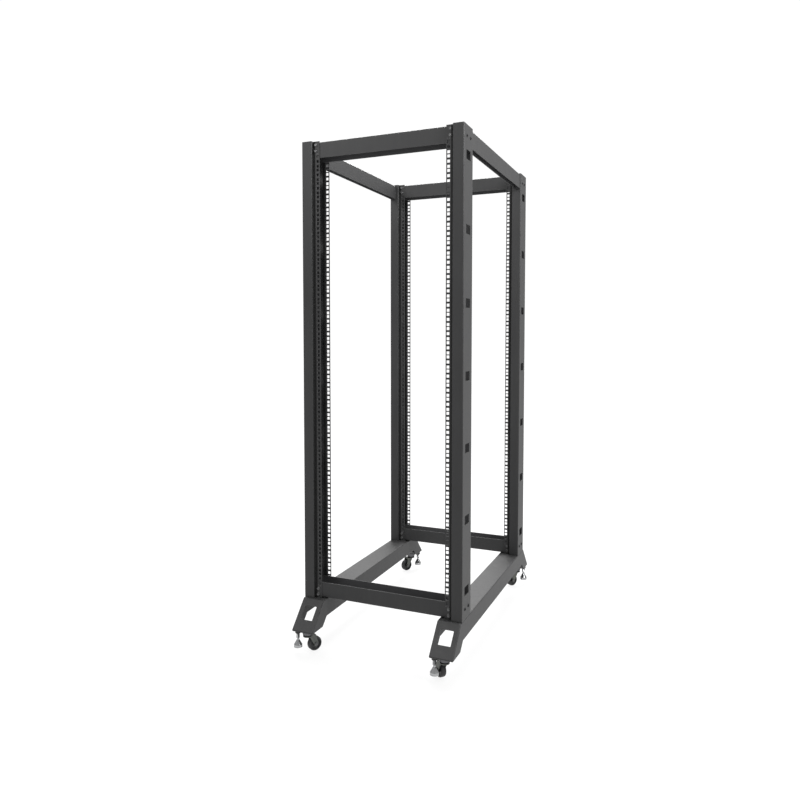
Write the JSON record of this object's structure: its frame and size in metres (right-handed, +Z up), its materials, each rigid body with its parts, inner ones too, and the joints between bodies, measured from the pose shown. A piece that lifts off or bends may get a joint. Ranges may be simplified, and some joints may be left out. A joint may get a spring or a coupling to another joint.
{
  "type": "four post open frame rack",
  "caption": "Open frame rack for 19 inch equipment: perforated stepped posts, crossbars and side beams on sleds with splayed feet, swivel castors and levelling feet.",
  "frame": {"origin": "on the floor, centred between the four posts", "axes": "+X to the right seen from the front, front towards -Y, +Z up"},
  "size_m": [0.577, 0.9918, 1.7237],
  "materials": {
    "powder_coat": "satin powder coat",
    "dark_steel": "satin dark",
    "zinc_steel": "zinc plated",
    "bright_steel": "bright nickel",
    "wheel_plastic": "moulded",
    "wheel_tread": "moulded"
  },
  "bodies": {
    "frame": {"post_front_left": "powder_coat", "post_front_right": "powder_coat", "post_rear_left": "powder_coat", "post_rear_right": "powder_coat", "bottom_bar_front": "powder_coat", "top_bar_front": "powder_coat", "bottom_bar_rear": "powder_coat", "top_bar_rear": "powder_coat", "top_beam_left": "powder_coat", "sled_left": "powder_coat", "top_beam_right": "powder_coat", "sled_right": "powder_coat", "castor_head_front_left": "dark_steel", "castor_head_front_right": "dark_steel", "castor_head_rear_left": "dark_steel", "castor_head_rear_right": "dark_steel"},
    "swivel_front_left": {"castor_fork_front_left": "zinc_steel", "castor_axle_front_left": "zinc_steel"},
    "wheel_front_left": {"wheel_core_front_left": "wheel_plastic", "wheel_tyre_front_left": "wheel_tread"},
    "leveller_front_left": {"leveller_pad_front_left": "bright_steel", "leveller_stud_front_left": "bright_steel"},
    "swivel_front_right": {"castor_fork_front_right": "zinc_steel", "castor_axle_front_right": "zinc_steel"},
    "wheel_front_right": {"wheel_core_front_right": "wheel_plastic", "wheel_tyre_front_right": "wheel_tread"},
    "leveller_front_right": {"leveller_pad_front_right": "bright_steel", "leveller_stud_front_right": "bright_steel"},
    "swivel_rear_left": {"castor_fork_rear_left": "zinc_steel", "castor_axle_rear_left": "zinc_steel"},
    "wheel_rear_left": {"wheel_core_rear_left": "wheel_plastic", "wheel_tyre_rear_left": "wheel_tread"},
    "leveller_rear_left": {"leveller_pad_rear_left": "bright_steel", "leveller_stud_rear_left": "bright_steel"},
    "swivel_rear_right": {"castor_fork_rear_right": "zinc_steel", "castor_axle_rear_right": "zinc_steel"},
    "wheel_rear_right": {"wheel_core_rear_right": "wheel_plastic", "wheel_tyre_rear_right": "wheel_tread"},
    "leveller_rear_right": {"leveller_pad_rear_right": "bright_steel", "leveller_stud_rear_right": "bright_steel"}
  },
  "joints": [
    {"name": "castor_swivel_front_left", "type": "hinge", "parent": "frame", "child": "swivel_front_left", "pos_m": [-0.2465, -0.459, 0.06], "axis": [0, 0, 1], "range_deg": [-140.3, 83.7]},
    {"name": "wheel_spin_front_left", "type": "hinge", "parent": "swivel_front_left", "child": "wheel_front_left", "pos_m": [-0.2335, -0.43648, 0.024], "axis": [0.866, -0.5, 0], "continuous": true},
    {"name": "leveller_screw_front_left", "type": "slide", "parent": "frame", "child": "leveller_front_left", "axis": [0, 0, 1], "range_m": [-0.023, 0]},
    {"name": "castor_swivel_front_right", "type": "hinge", "parent": "frame", "child": "swivel_front_right", "pos_m": [0.2465, -0.459, 0.06], "axis": [0, 0, 1], "range_deg": [-220.3, 3.7]},
    {"name": "wheel_spin_front_right", "type": "hinge", "parent": "swivel_front_right", "child": "wheel_front_right", "pos_m": [0.22658, -0.44229, 0.024], "axis": [0.6428, 0.766, 0], "continuous": true},
    {"name": "leveller_screw_front_right", "type": "slide", "parent": "frame", "child": "leveller_front_right", "axis": [0, 0, 1], "range_m": [-0.023, 0]},
    {"name": "castor_swivel_rear_left", "type": "hinge", "parent": "frame", "child": "swivel_rear_left", "pos_m": [-0.2465, 0.459, 0.06], "axis": [0, 0, 1], "range_deg": [-140.3, 83.7]},
    {"name": "wheel_spin_rear_left", "type": "hinge", "parent": "swivel_rear_left", "child": "wheel_rear_left", "pos_m": [-0.2595, 0.43648, 0.024], "axis": [-0.866, 0.5, 0], "continuous": true},
    {"name": "leveller_screw_rear_left", "type": "slide", "parent": "frame", "child": "leveller_rear_left", "axis": [0, 0, 1], "range_m": [-0.023, 0]},
    {"name": "castor_swivel_rear_right", "type": "hinge", "parent": "frame", "child": "swivel_rear_right", "pos_m": [0.2465, 0.459, 0.06], "axis": [0, 0, 1], "range_deg": [-135.3, 88.7]},
    {"name": "wheel_spin_rear_right", "type": "hinge", "parent": "swivel_rear_right", "child": "wheel_rear_right", "pos_m": [0.23159, 0.4377, 0.024], "axis": [-0.8192, 0.5736, 0], "continuous": true},
    {"name": "leveller_screw_rear_right", "type": "slide", "parent": "frame", "child": "leveller_rear_right", "axis": [0, 0, 1], "range_m": [-0.023, 0]}
  ]
}
